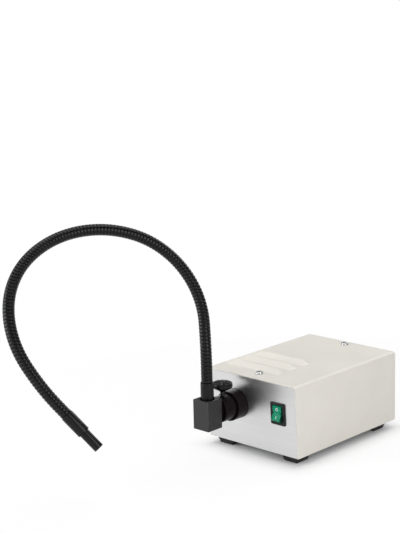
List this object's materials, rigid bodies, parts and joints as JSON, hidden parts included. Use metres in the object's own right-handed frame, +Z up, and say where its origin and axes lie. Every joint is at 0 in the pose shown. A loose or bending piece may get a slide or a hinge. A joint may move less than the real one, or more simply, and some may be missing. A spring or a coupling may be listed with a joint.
{
  "type": "fiber optic illuminator",
  "caption": "Sheet metal lamp house with fan, transformer and reflector lamp, feeding a self-supporting ribbed gooseneck light guide.",
  "frame": {"origin": "on the table, midway between the four feet", "axes": "+Z up, the front panel faces -Y, +X to the right as seen from the front"},
  "size_m": [0.2596, 0.5343, 0.3256],
  "materials": {
    "cream_paint": "satin powder coat",
    "front_aluminium": "horizontally brushed",
    "plated_sheet": "zinc plated",
    "foot_rubber": "matte",
    "screw_steel": "nickel plated",
    "stud_black": "black oxide",
    "port_anodised": "brown-black anodised, satin",
    "clamp_brass": "turned",
    "knob_plastic": "moulded",
    "block_anodised": "dark grey anodised",
    "hose_black": "satin black, ribbed",
    "sheath_black": "matte",
    "glass_fibre": "polished fibre ends",
    "tip_black": "black anodised, satin",
    "switch_black": "fine grain",
    "rocker_green": "translucent, gloss",
    "terminal_brass": "tinned",
    "fan_black": "moulded, glass filled",
    "guard_wire": "bright plated wire",
    "inlet_black": "moulded",
    "fuse_glass": "clear",
    "lamination_steel": "varnished laminations",
    "winding_tape": "enamelled copper under tape",
    "reflector_glass": "dichroic coated",
    "capsule_quartz": "clear quartz",
    "ceramic_white": "unglazed",
    "filter_glass": "heat absorbing",
    "lead_rubber": "silicone insulated"
  },
  "bodies": {
    "housing": {"cover": "cream_paint", "front_panel": "front_aluminium", "base_pan": "plated_sheet", "rear_panel": "cream_paint", "foot_front_left": "foot_rubber", "foot_front_right": "foot_rubber", "foot_rear_left": "foot_rubber", "foot_rear_right": "foot_rubber", "foot_screws": "screw_steel", "cover_screws": "screw_steel", "lamp_bulkhead": "plated_sheet", "port_ring": "port_anodised", "guide_socket": "port_anodised", "switch_body": "switch_black", "switch_terminals": "terminal_brass", "fan_frame": "fan_black", "fan_guard": "guard_wire", "fan_screws": "screw_steel", "inlet_socket": "inlet_black", "inlet_pins": "terminal_brass", "transformer_core": "lamination_steel", "transformer_coil": "winding_tape", "lamp_reflector": "reflector_glass", "lamp_capsule": "capsule_quartz", "lamp_socket": "ceramic_white", "heat_filter": "filter_glass", "lamp_bracket": "plated_sheet", "terminal_strip": "ceramic_white", "inner_leads": "lead_rubber"},
    "rocker": {"switch_rocker": "rocker_green"},
    "clamp_pad": {"clamp_pad": "clamp_brass"},
    "clamp_knob": {"clamp_knob": "knob_plastic", "clamp_stud": "stud_black"},
    "light_guide": {"guide_spigot": "port_anodised", "bundle_inlet": "glass_fibre"},
    "elbow": {"elbow_block": "block_anodised", "bundle_elbow": "sheath_black"},
    "neck_1": {"neck_ferrule": "tip_black", "neck_hose_1": "hose_black", "neck_bundle_1": "sheath_black"},
    "neck_2": {"neck_hose_2": "hose_black", "neck_bundle_2": "sheath_black"},
    "neck_3": {"neck_hose_3": "hose_black", "neck_bundle_3": "sheath_black"},
    "neck_4": {"neck_hose_4": "hose_black", "neck_bundle_4": "sheath_black"},
    "neck_5": {"neck_hose_5": "hose_black", "neck_bundle_5": "sheath_black"},
    "neck_6": {"neck_hose_6": "hose_black", "neck_bundle_6": "sheath_black"},
    "neck_7": {"neck_hose_7": "hose_black", "neck_bundle_7": "sheath_black"},
    "neck_8": {"neck_hose_8": "hose_black", "neck_bundle_8": "sheath_black", "tip_sleeve": "tip_black", "tip_nose": "tip_black", "tip_fibres": "glass_fibre"},
    "fan_rotor": {"fan_rotor": "fan_black"},
    "fuse_drawer": {"fuse_drawer": "inlet_black", "fuse": "fuse_glass"}
  },
  "joints": [
    {"name": "rocker_tilt", "type": "hinge", "parent": "housing", "child": "rocker", "pos_m": [0.048, -0.107, 0.06909], "axis": [1, 0, 0], "range_deg": [0, 28]},
    {"name": "pad_lift", "type": "slide", "parent": "housing", "child": "clamp_pad", "axis": [0, 0, 1], "range_m": [0, 0.0016]},
    {"name": "knob_turn", "type": "hinge", "parent": "clamp_pad", "child": "clamp_knob", "pos_m": [-0.0265, -0.1374, 0.098], "axis": [0, 0, 1], "range_deg": [0, 720]},
    {"name": "guide_slide", "type": "slide", "parent": "housing", "child": "light_guide", "axis": [0, -1, 0], "range_m": [0, 0.05]},
    {"name": "elbow_turn", "type": "hinge", "parent": "light_guide", "child": "elbow", "pos_m": [-0.0265, -0.154, 0.069], "axis": [0, 1, 0], "range_deg": [-60, 90]},
    {"name": "neck_swivel", "type": "hinge", "parent": "elbow", "child": "neck_1", "pos_m": [-0.0265, -0.1675, 0.0895], "axis": [0, 0, 1], "range_deg": [-90, 90]},
    {"name": "neck_bend_2", "type": "hinge", "parent": "neck_1", "child": "neck_2", "pos_m": [-0.03975, -0.15598, 0.1898], "axis": [0.7864, -0.3631, 0.4997], "range_deg": [-16, 12]},
    {"name": "neck_bend_3", "type": "hinge", "parent": "neck_2", "child": "neck_3", "pos_m": [-0.08077, -0.15178, 0.2574], "axis": [0.8022, -0.2011, 0.5621], "range_deg": [-16, 12]},
    {"name": "neck_bend_4", "type": "hinge", "parent": "neck_3", "child": "neck_4", "pos_m": [-0.12538, -0.19551, 0.30543], "axis": [0.877, -0.3565, 0.3221], "range_deg": [-16, 12]},
    {"name": "neck_bend_5", "type": "hinge", "parent": "neck_4", "child": "neck_5", "pos_m": [-0.15886, -0.26679, 0.31768], "axis": [0.7012, -0.3165, 0.6388], "range_deg": [-16, 12]},
    {"name": "neck_bend_6", "type": "hinge", "parent": "neck_5", "child": "neck_6", "pos_m": [-0.1716, -0.34167, 0.29458], "axis": [0.7256, -0.3035, 0.6175], "range_deg": [-16, 12]},
    {"name": "neck_bend_7", "type": "hinge", "parent": "neck_6", "child": "neck_7", "pos_m": [-0.15069, -0.39741, 0.2426], "axis": [0.8341, -0.077, 0.5463], "range_deg": [-16, 12]},
    {"name": "neck_bend_8", "type": "hinge", "parent": "neck_7", "child": "neck_8", "pos_m": [-0.10859, -0.40888, 0.17671], "axis": [0.8049, -0.376, 0.459], "range_deg": [-16, 12]},
    {"name": "fan_spin", "type": "hinge", "parent": "housing", "child": "fan_rotor", "pos_m": [-0.0265, 0.095, 0.0615], "axis": [0, 1, 0], "continuous": true},
    {"name": "fuse_drawer_slide", "type": "slide", "parent": "housing", "child": "fuse_drawer", "axis": [0, 1, 0], "range_m": [0, 0.016]}
  ],
  "couplings": [
    {"joint": "pad_lift", "follows": "knob_turn", "m_per_rad": 0.00012732}
  ]
}
